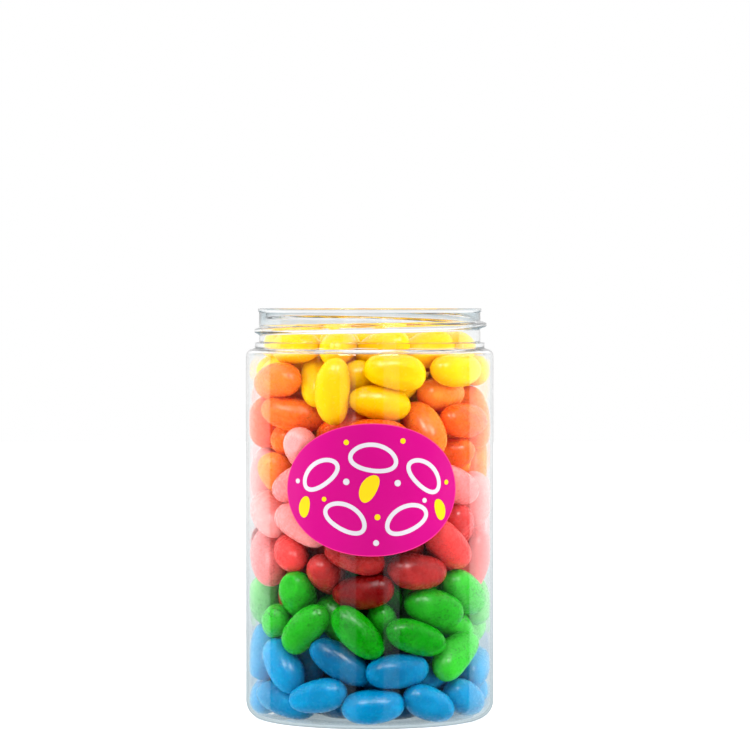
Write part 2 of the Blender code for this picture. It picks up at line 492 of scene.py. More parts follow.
def worked_out(tree, operation, *values):
    """What a sum or another operation gives for numbers or links."""
    return add(tree, "Math", dict(enumerate(values)), operation=operation).outputs[0]


def grain(tree, scale, detail=2.0, roughness=0.5):
    """Noise in the object's own coordinates: scale is in lumps a metre."""
    place_of = add(tree, "TexCoord")
    values = {
        "Vector": place_of.outputs["Object"],
        "Scale": scale,
        "Detail": detail,
        "Roughness": roughness,
    }
    return add(tree, "TexNoise", values).outputs["Fac"]


def ranged(tree, value, low, high, to_low=0.0, to_high=1.0):
    """value, with low to high moved smoothly to another range."""
    values = {
        "Value": value,
        "From Min": low,
        "From Max": high,
        "To Min": to_low,
        "To Max": to_high,
    }
    return add(tree, "MapRange", values, interpolation_type="SMOOTHSTEP").outputs["Result"]


def blended(tree, share, first, second, **settings):
    """A colour between two, each a colour or a link."""
    node = add(tree, "Mix", data_type="RGBA", **settings)
    sockets = (node.inputs[0], node.inputs[6], node.inputs[7])
    for socket, value in zip(sockets, (share, first, second)):
        if isinstance(value, bpy.types.NodeSocket):
            tree.links.new(value, socket)
        elif isinstance(value, (int, float)):
            socket.default_value = value
        else:
            socket.default_value = (*value, 1.0)
    return node.outputs[2]


def clear_plastic(settings):
    """Clear moulded plastic. Lamps and the beans' own light pass straight through it."""
    material, tree, shader = new_material("clear_plastic")
    flow = ranged(tree, grain(tree, 60, 1.0), 0.3, 0.7)
    ripple = add(tree, "Bump", {"Height": flow, "Strength": 0.12, "Distance": 0.00004})
    look = {
        "Base Color": (*settings.tint, 1.0),
        "Roughness": 0.0,
        "IOR": settings.refraction,
        "Transmission Weight": 1.0,
        "Normal": ripple.outputs["Normal"],
    }
    feed(tree, shader, look)
    open_air = add(tree, "BsdfTransparent").outputs["BSDF"]
    ray = add(tree, "LightPath")
    surface = shader.outputs["BSDF"]
    for kind in ("Is Diffuse Ray", "Is Shadow Ray"):
        mix = add(tree, "MixShader", {0: ray.outputs[kind], 1: surface, 2: open_air})
        surface = mix.outputs["Shader"]
    tree.links.new(surface, tree.nodes["Material Output"].inputs["Surface"])
    return material


# How each colour's shell looks: how far its specks darken it, how much it is frosted, how deep
# its deepest beans are, how much brighter its palest ones are, and the whiteness added to those,
# which is partly their own paler colour and partly painted reflection of the white panels
FINISHES = {
    "blue": (0.10, 0.5, 0.50, 1.15, (0.00, 0.06, 0.03)),
    "green": (0.75, 0.9, 0.85, 1.25, (0.03, 0.10, 0.02)),
    "red": (0.30, 0.8, 0.38, 1.80, (0.00, 0.055, 0.05)),
    "pink": (0.25, 0.7, 0.92, 1.00, (0.02, 0.11, 0.105)),
    "orange": (0.35, 0.8, 0.90, 1.00, (0.06, 0.18, 0.03)),
    "yellow": (0.05, 0.4, 0.94, 1.00, (0.02, 0.06, 0.00)),
}
# How white the strongest painted reflection is, and how much of the shell's colour a speck keeps
PAINTED_REFLECTION = 0.14
SPECK_SHARE = 0.35


def bean_shell(name, colour):
    """A polished sugar shell with fine specks in patches. Each bean has its own tone, partly its
    own colour and partly painted light, shade and reflection.
    """
    speckled, frosted, deepest, brighter, wash = FINISHES[name]
    material, tree, shader = new_material(f"{name}_shell")
    # The palest tone, brighter and whiter: partly the bean's own paler colour, partly painted
    # reflection of the white panels.
    pale = tuple(min(1.0, channel * brighter + more) for channel, more in zip(colour, wash))
    tone = add(tree, "Attribute", attribute_name="tone").outputs["Fac"]
    cloud = ranged(tree, grain(tree, 160), 0.3, 0.7, -0.12, 0.12)
    tone = worked_out(tree, "ADD", tone, cloud)
    # From deepest to palest by the tone, which is random for most beans and partly painted light
    # and shade for the front ones.
    body = blended(tree, tone, dimmed(colour, deepest), pale)
    # Painted reflection: from tone 1.1 to 2 the colour goes towards white, for the white side
    # panels mirrored over the beans at the jar's sides.
    body = blended(tree, ranged(tree, tone, 1.1, 2.0, 0.0, PAINTED_REFLECTION), body, grey(1.0))
    fleck = ranged(tree, grain(tree, 1500, 1.0), 0.54, 0.64)
    patch = ranged(tree, grain(tree, 75), 0.40, 0.58)
    specks = worked_out(tree, "MULTIPLY", worked_out(tree, "MULTIPLY", fleck, patch), speckled)
    relief = {"Height": grain(tree, 1500, 3.0), "Strength": 0.25 * frosted, "Distance": 0.0001}
    look = {
        "Base Color": blended(tree, specks, body, dimmed(colour, SPECK_SHARE)),
        "Roughness": ranged(tree, grain(tree, 700), 0.35, 0.65, 0.20, 0.22 + 0.14 * frosted),
        "Normal": add(tree, "Bump", relief).outputs["Normal"],
        "Specular IOR Level": 0.4,
        "Subsurface Weight": 1.0,
        "Subsurface Radius": (1.0, 0.9, 0.8),
        "Subsurface Scale": 0.010,
    }
    feed(tree, shader, look)
    return material


def printed(name, colour):
    """Satin printed film with a little unevenness in its gloss."""
    material, tree, shader = new_material(name)
    wash = ranged(tree, grain(tree, 45, 0.0), 0.2, 0.8)
    look = {
        "Base Color": blended(tree, wash, colour, dimmed(colour, 0.94)),
        "Roughness": ranged(tree, grain(tree, 120, 0.0), 0.2, 0.8, 0.32, 0.38),
        "Specular IOR Level": 0.12,
    }
    feed(tree, shader, look)
    return material


# The jar


def outer_profile():
    """From the middle of the underside, out round the base corner and up to the lip."""
    underside = [(0, PUSH_UP), (PUSH_UP_RADIUS, PUSH_UP)]
    ring = (STANDING_RING_INNER, 0)
    underside += straight(underside[-1], ring, FLOOR_STEP) + [ring]
    corner = arc(BASE_CORNER, CORNER_RADIUS, -pi / 2, 0, steps=20)
    shoulder = arc(SHOULDER_CORNER, SHOULDER_RISE, 0, SHOULDER_TURN, steps=12)
    low = (COLLAR_RADIUS - EDGE_ROUND, SHOULDER_TOP + 2 * EDGE_ROUND)
    high = (COLLAR_RADIUS - EDGE_ROUND, COLLAR_TOP - EDGE_ROUND)
    collar = arc(low, EDGE_ROUND, -pi / 3, 0, steps=4)
    collar += arc(high, EDGE_ROUND, 0, pi / 2, steps=6)
    foot_middle = (NECK_RADIUS + EDGE_ROUND, COLLAR_TOP + EDGE_ROUND)
    foot = arc(foot_middle, EDGE_ROUND, -pi / 2, -pi, steps=5)
    under_lip = (NECK_RADIUS, HEIGHT - LIP_HEIGHT - EDGE_ROUND)
    neck = foot + straight(foot[-1], under_lip, NECK_STEP) + [under_lip]
    lip_middle = (LIP_RADIUS - EDGE_ROUND, HEIGHT - EDGE_ROUND)
    lip = [(LIP_RADIUS, HEIGHT - LIP_HEIGHT)]
    lip += arc(lip_middle, EDGE_ROUND, 0, pi / 2, steps=6)
    return underside + corner + shoulder + collar + neck + lip


def inner_profile(wall):
    """From the lip down the inside of the neck and the wall to the middle of the floor."""
    bore = NECK_RADIUS - NECK_WALL
    lip = arc((bore + EDGE_ROUND, HEIGHT - EDGE_ROUND), EDGE_ROUND, pi / 2, pi, steps=5)
    throat_middle = (bore + THROAT_ROUND, SHOULDER_TOP - wall + THROAT_ROUND)
    throat = arc(throat_middle, THROAT_ROUND, pi, 3 * pi / 2, steps=8)
    under = arc(SHOULDER_CORNER, SHOULDER_RISE - wall, pi / 2, 0, steps=10)
    corner = arc(BASE_CORNER, CORNER_RADIUS - wall, 0, -pi / 2, steps=20)
    ring, middle = (STANDING_RING_INNER, wall), (PUSH_UP_RADIUS, PUSH_UP + wall)
    floor = [ring] + straight(ring, middle, FLOOR_STEP) + [middle, (0, PUSH_UP + wall)]
    return lip + throat + under + corner + floor


def thread_rise(azimuth, height):
    """How far the thread stands out of the neck here."""
    rise = 0.0
    for turn in (azimuth, azimuth + tau):
        if not THREAD_START <= turn <= THREAD_END:
            continue
        middle = THREAD_START_HEIGHT + (turn - THREAD_START) / tau * THREAD_PITCH
        off = (abs(height - middle) - THREAD_CREST / 2) / ((THREAD_FOOT - THREAD_CREST) / 2)
        side = 0.5 + 0.5 * cos(pi * min(max(off, 0.0), 1.0))
        fade = sin(min(turn - THREAD_START, THREAD_END - turn, THREAD_FADE) / THREAD_FADE * pi / 2)
        rise = max(rise, THREAD_RISE * side * fade)
    return rise


def make_jar(settings):
    bm = bmesh.new()
    profile = outer_profile() + inner_profile(settings.wall)
    points = [bm.verts.new((radius, 0.0, height)) for radius, height in profile]
    edges = [bm.edges.new(pair) for pair in zip(points, points[1:])]
    bmesh.ops.spin(
        bm,
        geom=points + edges,
        axis=(0, 0, 1),
        cent=(0, 0, 0),
        steps=settings.segments,
        angle=tau,
        use_merge=True,
    )
    bmesh.ops.remove_doubles(bm, verts=bm.verts, dist=1e-6)
    for vert in bm.verts:
        radius = hypot(vert.co.x, vert.co.y)
        if vert.co.z > COLLAR_TOP and radius > NECK_RADIUS - EDGE_ROUND / 2:
            azimuth = atan2(vert.co.x, -vert.co.y)
            vert.co = around(radius + thread_rise(azimuth, vert.co.z), azimuth, vert.co.z)
    bmesh.ops.recalc_face_normals(bm, faces=bm.faces)
    jar = finished("clear_jar", bm, clear_plastic(settings))
    place(jar, "jar")


# The heap of beans


def layer_top(layer, x):
    """The height at x of this layer's top, or of the base for layer -1."""
    if layer < 0:
        return PUSH_UP
    return LAYERS[layer][2] + LAYERS[layer][3] * x / BODY_RADIUS


def lying(length_way, spin):
    """The rotation that turns a bean's length this way, spun about it."""
    along = Vector(length_way).normalized()
    other = Vector((0, 0, 1)) if abs(along.z) < STEEP else Vector((1, 0, 0))
    across = other.cross(along).normalized()
    turned = Matrix((along, across, along.cross(across))).transposed()
    return (turned @ Matrix.Rotation(spin, 3, "X")).to_quaternion()


def turned_by(rotation):
    """Quaternions from rotation vectors."""
    angle = np.linalg.norm(rotation, axis=1, keepdims=True)
    share = np.where(angle > TINY, np.sin(angle / 2) / np.maximum(angle, TINY), 0.5)
    return np.concatenate([np.cos(angle / 2), rotation * share], axis=1)


def after(first, second):
    """The quaternions of second's turn and then first's."""
    w, v = first[:, :1], first[:, 1:]
    other_w, other_v = second[:, :1], second[:, 1:]
    real = w * other_w - (v * other_v).sum(axis=1, keepdims=True)
    return np.concatenate([real, w * other_v + other_w * v + np.cross(v, other_v)], axis=1)


def matrices(turns):
    """Rotation matrices from quaternions."""
    w, x, y, z = turns.T
    rows = (
        (1 - 2 * (y * y + z * z), 2 * (x * y - w * z), 2 * (x * z + w * y)),
        (2 * (x * y + w * z), 1 - 2 * (x * x + z * z), 2 * (y * z - w * x)),
        (2 * (x * z - w * y), 2 * (y * z + w * x), 1 - 2 * (x * x + y * y)),
    )
    return np.stack([np.stack(row, axis=1) for row in rows], axis=1)


class Heap:
    """Beans that settle in the jar. While they do, each is a row of spheres on a bent line."""

    def __init__(self, settings, wall):
        self.rng = np.random.default_rng(settings.seed)
        self.half_length, self.half_width = settings.length / 2, settings.width / 2
        self.radius = BODY_RADIUS - wall
        self.neck = NECK_RADIUS - NECK_WALL
        self.floor = PUSH_UP + wall
        self.layer, self.places, self.turns = [], [], []
        self.lengths, self.widths, self.tones = [], [], []
        for layer, (name, _, _, _) in enumerate(LAYERS):
            for bean in FRONT_BEANS[name]:
                self.lay_at_front(layer, *bean)
        self.fixed = len(self.places)
        for layer, (name, count, _, _) in enumerate(LAYERS):
            for _ in range(count - len(FRONT_BEANS[name])):
                self.drop_in(layer)
        self.start()

    def add(self, layer, place_at, length_way, length, width, tone):
        self.layer.append(layer)
        self.tones.append(tone)
        self.places.append(np.array(place_at))
        self.turns.append(lying(length_way, self.rng.uniform(0, tau)))
        self.lengths.append(self.half_length * length)
        self.widths.append(self.half_width * width)

    def lay_at_front(self, layer, azimuth, height, lean, turn_out, distance, tone=0.5):
        """A bean against the wall. Its length leans by `lean` and turns out of the wall."""
        azimuth, lean, turn_out = radians(azimuth), radians(lean), radians(turn_out)
        height, distance = height / 1000, distance / 1000
        sideways, outwards = around(1, azimuth + pi / 2, 0), around(1, azimuth, 0)
        in_wall = cos(lean) * sideways + sin(lean) * Vector((0, 0, 1))
        length, width = self.rng.uniform(*FRONT_LENGTHS), self.rng.uniform(*FRONT_WIDTHS)
        reach = hypot(
            self.half_length * length * sin(turn_out),
            self.half_width * width * cos(turn_out),
        )
        inside = self.neck if height > SHOULDER_BOTTOM else self.radius
        radius = inside - reach - distance - WALL_CURVE * cos(lean) * cos(turn_out)
        length_way = cos(turn_out) * in_wall + sin(turn_out) * outwards
        self.add(layer, around(radius, azimuth, height), length_way, length, width, tone)

    def drop_in(self, layer):
        """A bean anywhere in its layer: of a few tries, the one with the most room."""
        best_room, best = -1.0, None
        others = np.array(self.places)
        for _ in range(TRIES):
            radius = (self.radius - self.half_width) * sqrt(self.rng.uniform())
            x, y, _ = around(radius, self.rng.uniform(0, tau), 0)
            low = layer_top(layer - 1, x) + LAYER_MARGIN
            z = self.rng.uniform(low, layer_top(layer, x) - LAYER_MARGIN)
            room = np.linalg.norm((others - (x, y, z)) * ROOM_WEIGHTS, axis=1).min()
            if room > best_room:
                best_room, best = room, (x, y, z)
        length_way = self.rng.normal(size=3) * LYING_WEIGHTS
        length, width = self.rng.uniform(*OTHER_LENGTHS), self.rng.uniform(*OTHER_WIDTHS)
        self.add(layer, best, length_way, length, width, self.rng.uniform())

    def start(self):
        """Makes arrays of the beans. Their inertia is that of an even egg of their size."""
        self.count = len(self.places)
        self.layer = np.array(self.layer)
        self.places = np.array(self.places)
        self.turns = np.array([tuple(turn) for turn in self.turns])
        self.lengths, self.widths = np.array(self.lengths), np.array(self.widths)
        self.bends = self.rng.uniform(*BENDS, self.count)
        self.fullness = self.rng.uniform(*FULLNESS, self.count)
        self.inertia = (self.lengths**2 + self.widths**2) / 5
        self.lay_balls()
        self.targets = self.places[: self.fixed].copy()
        self.target_ways = matrices(self.turns[: self.fixed])[:, :, 0]
        self.pairs = np.triu_indices(self.count, 1)

    def lay_balls(self):
        """The balls along each bean, every one as large as fits in its outline."""
        tips = self.widths**2 / self.lengths * (1 + self.fullness) ** 2
        along = (self.lengths - tips)[:, None] * BALL_PLACES
        share = np.linspace(-1, 1, OUTLINE_STEPS)
        outline_x = self.lengths[:, None] * share
        outline_y = self.widths[:, None] * bean_girth(share, self.fullness[:, None])
        gaps = np.hypot(outline_x[:, None, :] - along[:, :, None], outline_y[:, None, :])
        self.ball_radii = gaps.min(axis=2)
        aside = self.bends[:, None] * (BEND_MIDDLE - (along / self.lengths[:, None]) ** 2)
        self.balls = np.stack([along, aside, np.zeros_like(along)], axis=2)

    def push(self, bean, where, way, depth):
        """Moves and turns each bean so that its surface at `where` goes `depth` along `way`."""
        arm = np.cross(where - self.places[bean], way)
        share = depth / (1 + (arm**2).sum(axis=1) / self.inertia[bean])
        np.add.at(self.moves, bean, way * share[:, None])
        np.add.at(self.spins, bean, arm * (share / self.inertia[bean])[:, None])
        np.add.at(self.touches, bean, 1)

    def press_apart(self, near, centres, radii):
        """Pushes touching beans apart, each by half."""
        a, b = near
        apart = centres[a][:, :, None, :] - centres[b][:, None, :, :]
        distance = np.sqrt((apart**2).sum(axis=3)) + TINY
        overlap = radii[a][:, :, None] + radii[b][:, None, :] - distance
        pair, ball_a, ball_b = np.nonzero(overlap > 0)
        self.overlaps = overlap[pair, ball_a, ball_b]
        way = apart[pair, ball_a, ball_b] / distance[pair, ball_a, ball_b][:, None]
        bean_a, bean_b = a[pair], b[pair]
        near_a = centres[bean_a, ball_a] - way * radii[bean_a, ball_a][:, None]
        near_b = centres[bean_b, ball_b] + way * radii[bean_b, ball_b][:, None]
        middle = (near_a + near_b) / 2
        self.push(bean_a, middle, way, self.overlaps / 2)
        self.push(bean_b, middle, -way, self.overlaps / 2)

    def press_inwards(self, centres, radii, depth, inwards, upwards):
        """Pushes beans off a surface that turns inwards and upwards by these shares."""
        bean, ball = np.nonzero(depth > 0)
        at = centres[bean, ball]
        from_axis = np.maximum(np.hypot(at[:, 0], at[:, 1]), NEAR_AXIS)
        inwards = np.broadcast_to(inwards, depth.shape)[bean, ball]
        upwards = np.broadcast_to(upwards, depth.shape)[bean, ball]
        way = np.stack(
            [-at[:, 0] / from_axis * inwards, -at[:, 1] / from_axis * inwards, upwards], axis=1
        )
        where = at - way * radii[bean, ball][:, None]
        self.push(bean, where, way, depth[bean, ball])

    def press_off_walls(self, centres, radii):
        """Keeps the beans inside the wall, neck, shoulder, base corner and floor."""
        height = centres[:, :, 2]
        from_axis = np.hypot(centres[:, :, 0], centres[:, :, 1])
        low, high = SHOULDER_BOTTOM - SLOPE_DROP, SHOULDER_TOP
        in_body, in_neck = height < low + WALL_OVERRUN, height > high
        for held, radius in ((in_body, self.radius), (in_neck, self.neck)):
            depth = np.where(held, from_axis + radii - radius, -1)
            self.press_inwards(centres, radii, depth, 1.0, 0.0)
        self.press_inwards(centres, radii, self.floor - FLOOR_SINK + radii - height, 0.0, 1.0)
        self.press_inwards(centres, radii, height + radii - HEAP_TOP, 0.0, -1.0)
        out, up = from_axis - BASE_CORNER[0], height - BASE_CORNER[1]
        reach = np.hypot(out, up) + TINY
        room = self.radius - BASE_CORNER[0]
        depth = np.where((out > 0) & (up < 0), reach + radii - room, -1)
        self.press_inwards(centres, radii, depth, out / reach, -up / reach)
        slope_in, slope_up = self.neck - self.radius, high - low
        slope = hypot(slope_in, slope_up)
        slope_in, slope_up = slope_in / slope, slope_up / slope
        out, up = from_axis - self.radius, height - low
        passed = out * slope_in + up * slope_up
        depth = radii + out * slope_up - up * slope_in
        depth = np.where((passed > 0) & (passed < slope), depth, -1)
        self.press_inwards(centres, radii, depth, slope_up, slope_in)

    def hold(self, progress):
        """Draws the front beans to their places, and the others into their layers behind them."""
        strength = next(share for end, share in HOLDS if progress < end)
        front = slice(0, self.fixed)
        self.places[front] += strength * (self.targets - self.places[front])
        ways = matrices(self.turns[front])[:, :, 0]
        self.spins[front] += strength * np.cross(ways, self.target_ways)
        others = slice(self.fixed, self.count)
        if progress > FALL_START:
            self.places[others, 2] -= FALL * min(1.0, (1 - progress) / FALL_FADE)
        if progress < LAYER_PULL_END:
            for layer in range(len(LAYERS)):
                mine = np.nonzero(self.layer == layer)[0]
                mine = mine[mine >= self.fixed]
                x, z = self.places[mine, 0], self.places[mine, 2]
                low = layer_top(layer - 1, x) + LAYER_MARGIN
                inside = np.clip(z, low, layer_top(layer, x) - LAYER_MARGIN)
                self.places[mine, 2] += LAYER_PULL * (inside - z)
            x, y = self.places[others, 0], self.places[others, 1]
            front_wall = -np.sqrt(np.maximum(self.radius**2 - x**2, 0))
            too_near = np.maximum(front_wall + FRONT_ROOM - y, 0)
            self.places[others, 1] += LAYER_PULL * too_near
        if progress < SHAKE_END:
            size = self.count - self.fixed
            shake = SHAKE * (1 - progress / SHAKE_END)
            self.places[others] += self.rng.normal(0, shake, (size, 3))
            self.spins[others] += self.rng.normal(0, SHAKE_TURN * shake, (size, 3))

    def settle(self):
        """The beans grow to their size while they push each other apart and sink."""
        for step in range(SETTLING_STEPS):
            progress = step / SETTLING_STEPS
            size = min(1.0, FIRST_SIZE + GROWTH * progress / GROWN_TIME)
            grown = np.full(self.count, size)
            grown[: self.fixed] = 1.0
            if step % NEIGHBOUR_STEPS == 0:
                a, b = self.pairs
                reach = self.lengths[a] * grown[a] + self.lengths[b] * grown[b] + NEIGHBOUR_MARGIN
                close = ((self.places[a] - self.places[b]) ** 2).sum(axis=1) < reach**2
                near = a[close], b[close]
            self.moves, self.spins = np.zeros((2, self.count, 3))
            self.touches = np.zeros(self.count)
            offsets = np.einsum("nij,nsj->nsi", matrices(self.turns), self.balls)
            centres = self.places[:, None, :] + offsets * grown[:, None, None]
            radii = self.ball_radii * grown[:, None]
            self.press_apart(near, centres, radii)
            self.press_off_walls(centres, radii)
            ease = (PUSH_SHARE / np.maximum(1, self.touches / CROWD))[:, None]
            self.places += self.moves * ease
            self.spins *= ease
            self.hold(progress)
            self.turns = after(turned_by(self.spins), self.turns)
            self.turns /= np.linalg.norm(self.turns, axis=1, keepdims=True)
            # Rounded, so that every computer gives the same heap
            self.places = np.round(self.places, PLACE_DIGITS)
            self.turns = np.round(self.turns, TURN_DIGITS)
        if self.overlaps.mean() > MOST_MEAN_OVERLAP:
            raise RuntimeError("the beans don't fit in the jar: use fewer or smaller ones")


def bean_girth(along, fullness):
    """A bean's half width, as a share of its greatest, from its end at -1 to that at 1."""
    return np.sqrt(1 - along**2) * (1 + fullness * along**2)


def unit_ball():
    """The points and triangles of a ball of radius 1."""
    bm = bmesh.new()
    bmesh.ops.create_icosphere(bm, subdivisions=4, radius=1)
    points = np.array([vert.co for vert in bm.verts])
    faces = np.array([[vert.index for vert in face.verts] for face in bm.faces])
    bm.free()
    return points, faces


def bean_points(ball, half_length, half_width, bend, fullness, rng):
    """One bean's points about its own middle: blunt, with one end fatter and a hollowed side."""
    along, side, up = ball.T
    fullness = 1 + fullness * along**2
    egg = 1 + rng.uniform(-FATTER_END, FATTER_END) * along
    waves = zip(rng.uniform(*LUMP_RATES, 3), rng.uniform(0, tau, 3), ball.T)
    lumps = sum(np.sin(rate * axis * pi / 2 + phase) for rate, phase, axis in waves)
    girth = half_width * fullness * egg * (1 + LUMP_HEIGHT * lumps)
    flatness = rng.uniform(FLATTEST, 1.0)
    y = girth * side + bend * (BEND_MIDDLE - along**2)
    return np.stack([half_length * along, y, girth * flatness * up], axis=1)


def kept_inside(points, wall):
    """The points, pressed in where they would touch the inside of the wall or the neck."""
    height = points[:, 2]
    body, neck = BODY_RADIUS - wall, NECK_RADIUS - NECK_WALL
    corner = np.clip(CORNER_RADIUS - height, 0, CORNER_RADIUS - wall)
    limit = body - CORNER_RADIUS + wall + np.sqrt((CORNER_RADIUS - wall) ** 2 - corner**2)
    into_neck = (height - SHOULDER_BOTTOM + wall) / SHOULDER_RISE
    limit = limit - (body - neck) * np.clip(into_neck, 0, 1) - WALL_GAP
    from_axis = np.hypot(points[:, 0], points[:, 1])
    share = np.minimum(1, limit / np.maximum(from_axis, NEAR_AXIS))
    return points * np.stack([share, share, np.ones_like(share)], axis=1)


def bean_mesh(name, beans, tones, triangles):
    """The mesh of these beans, in which each keeps its own tone."""
    shifts = np.arange(len(beans))[:, None, None] * len(beans[0])
    faces = (triangles[None] + shifts).reshape(-1, 3)
    mesh = bpy.data.meshes.new(name)
    mesh.from_pydata(np.concatenate(beans).tolist(), [], faces.tolist())
    tone = mesh.attributes.new("tone", "FLOAT", "POINT")
    tone.data.foreach_set("value", np.repeat(tones, len(beans[0])))
    mesh.shade_smooth()
    return mesh


def make_beans(settings, wall):
    """One piece for each colour, with every bean that can be seen."""
    heap = Heap(settings, wall)
    heap.settle()
    rng = np.random.default_rng(settings.seed + 1)
    ball, triangles = unit_ball()
    turns = matrices(heap.turns)
    from_axis = np.hypot(heap.places[:, 0], heap.places[:, 1])
    height = heap.places[:, 2]
    hidden = (from_axis < LEFT_OUT_RADIUS) & (height > CORE_LOW) & (height < CORE_HIGH)
    for layer, (name, _, _, _) in enumerate(LAYERS):
        shapes, tones = [], []
        for bean in np.nonzero(heap.layer == layer)[0]:
            sizes = (heap.lengths[bean], heap.widths[bean], heap.bends[bean], heap.fullness[bean])
            shape = bean_points(ball, *sizes, rng)
            if not hidden[bean]:
                shapes.append(kept_inside(shape @ turns[bean].T + heap.places[bean], wall))
                tones.append(heap.tones[bean])
        mesh = bean_mesh(f"{name}_jelly_beans", shapes, tones, triangles)
        mesh.materials.append(bean_shell(name, getattr(settings, name)))
        place(in_scene(mesh.name, mesh), f"beans_{name}")


def core_ring(layer, height):
    """A ring round a core, in and out along two waves that cross."""
    ring = []
    for azimuth in all_round(CORE_STEPS):
        lump = sin(4 * azimuth + 900 * height) * sin(3 * azimuth - 520 * height + layer)
        ring.append(around(CORE_RADIUS + CORE_LUMP * lump, azimuth, height))
    return ring


def make_cores():
    """What is left of each layer behind the beans: a lumpy column in the layer's colour."""
    bottom = CORE_LOW
    for layer, (name, _, _, _) in enumerate(LAYERS):
        top = min(layer_top(layer, 0.0), CORE_HIGH)
        if top <= bottom + CORE_GAP:
            break
        levels = max(LEAST_LEVELS, round((top - bottom) / CORE_LEVEL))
        heights = [bottom + (top - CORE_GAP - bottom) * i / levels for i in range(levels + 1)]
        bm = bmesh.new()
        loft(bm, [core_ring(layer, height) for height in heights], ends=True)
        core = finished(f"{name}_core", bm, bpy.data.materials[f"{name}_shell"])
        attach(core, BODY)
        bottom = top


# The label


def on_label(across, up, rise):
    """The point this far across and up from the label's middle, so far above the wall."""
    return around(LABEL_RADIUS + rise, LABEL_TURN + across / LABEL_RADIUS, LABEL_MIDDLE + up)


def on_wall(loops, rise):
    """The loops, laid round the wall so far above it."""
    return [[on_label(x, y, rise) for x, y in loop] for loop in loops]


def oval(half_width, half_height, steps):
    return [(half_width * cos(t), half_height * sin(t)) for t in all_round(steps)]


def moved_outline(outline, across, up, turn=0):
    """The outline turned by these degrees and moved by these millimetres."""
    x, y = across / 1000, up / 1000
    c, s = cos(radians(turn)), sin(radians(turn))
    return [(x + c * u - s * v, y + s * u + c * v) for u, v in outline]


def bean_outline(across, up, turn, length):
    """A bean drawn flat, as an oval with one side hollowed. The length is in millimetres."""
    length = length / 1000
    width = length * PRINTED_BEAN_WIDTH
    hollow = PRINTED_BEAN_HOLLOW * width
    shape = [
        (length / 2 * cos(t), width / 2 * sin(t) - hollow * cos(t) ** 2 + hollow / 2)
        for t in all_round(PRINTED_BEAN_STEPS)
    ]
    return moved_outline(shape, across, up, turn)


def grown_outline(outline, distance):
    """The outline moved outwards by this distance all round."""
    grown = []
    for i, (x, y) in enumerate(outline):
        before, behind = outline[i - 1], outline[(i + 1) % len(outline)]
        along = Vector((behind[0] - before[0], behind[1] - before[1])).normalized()
        grown.append((x + along.y * distance, y - along.x * distance))
    return grown


# What is printed on the label. Each bean: millimetres across and up, turn in degrees, length in
# millimetres. Each dot: millimetres across, up and wide, and whether it is white.
OUTLINED_BEANS = (
    (-19.5, 5.5, 35, 15),
    (0.5, 11.5, -8, 17),
    (20.0, 5.0, -42, 15),
    (-10.0, -10.5, -28, 16),
    (13.0, -11.0, 24, 16),
)
FILLED_BEANS = (
    (-1.0, 0.5, 62, 11),
    (-26.0, -6.5, 80, 8),
    (26.5, -7.5, -75, 8),
)
DOTS = (
    (-9.5, 3.0, 2.4, True),
    (9.5, 2.5, 2.4, True),
    (2.0, -10.0, 2.2, False),
    (-9.5, 17.5, 2.0, False),
    (11.5, 18.0, 2.0, False),
    (-18.0, -3.5, 1.8, False),
    (20.0, -4.0, 1.8, True),
    (1.5, -19.5, 2.2, True),
    (-29.0, 3.0, 1.8, True),
    (29.5, 2.5, 1.8, False),
)
PRINTED_BEAN_WIDTH = 0.56
PRINTED_BEAN_HOLLOW = 0.08
PRINTED_BEAN_STEPS = 48
DOT_STEPS = 32
LINE_SHARES = (-0.5, -0.25, 0.0, 0.25, 0.5)
FILLED_RINGS = (0.05, 0.2, 0.4, 0.6, 0.8, 1.0)
PAPER, EDGE, WHITE, YELLOW = range(4)


def print_line(bm, outline, stroke):
    """A white line of this width along a closed outline."""
    sides = [grown_outline(outline, stroke * share) for share in LINE_SHARES]
    loft(bm, on_wall(sides, PRINT_RISE) + on_wall(sides[::-1], PRINT_FOOT), WHITE)


def plate(bm, outline, middle, rings, foot, rise, material):
    """A thin filled shape about its middle, from one rise above the wall to another."""
    x0, y0 = middle
    loops = [[(x0 + (x - x0) * s, y0 + (y - y0) * s) for x, y in outline] for s in rings]
    loft(bm, on_wall(loops, foot) + on_wall(loops[::-1], rise), material, ends=True)


def print_filled(bm, outline, across, up, ink):
    """A filled shape whose middle is this many millimetres across and up."""
    middle = (across / 1000, up / 1000)
    plate(bm, outline, middle, FILLED_RINGS, PRINT_FOOT, PRINT_RISE, ink)


def make_label(settings):
    """The oval with its pale cut edge, and the beans and dots printed on it."""
    bm = bmesh.new()
    outline = oval(LABEL_WIDTH / 2, LABEL_HEIGHT / 2, LABEL_SEGMENTS)
    rings = [max(i / LABEL_RINGS, LABEL_FIRST_RING) for i in range(LABEL_RINGS + 1)]
    plate(bm, outline, (0, 0), rings, 0.0, LABEL_THICKNESS, PAPER)
    border = [grown_outline(outline, -EDGE_WIDTH), grown_outline(outline, EDGE_WIDTH / 2)]
    loft(bm, on_wall(border, EDGE_RISE) + on_wall(border[::-1], EDGE_FOOT), EDGE)
    for bean in OUTLINED_BEANS:
        print_line(bm, bean_outline(*bean), settings.stroke)
    for across, up, turn, length in FILLED_BEANS:
        print_filled(bm, bean_outline(across, up, turn, length), across, up, YELLOW)
    for across, up, size, is_white in DOTS:
        dot = moved_outline(oval(size / 2000, size / 2000, DOT_STEPS), across, up)
        print_filled(bm, dot, across, up, WHITE if is_white else YELLOW)
    bmesh.ops.recalc_face_normals(bm, faces=bm.faces)
    materials = (
        printed("label_paper", settings.paper),
        printed("label_edge", settings.edge),
        printed("white_ink", settings.white_ink),
        printed("yellow_ink", settings.yellow_ink),
    )
    label = finished("oval_label", bm, *materials)
    label.data.set_sharp_from_angle(angle=radians(30))
    place(label, "label")


# The stage

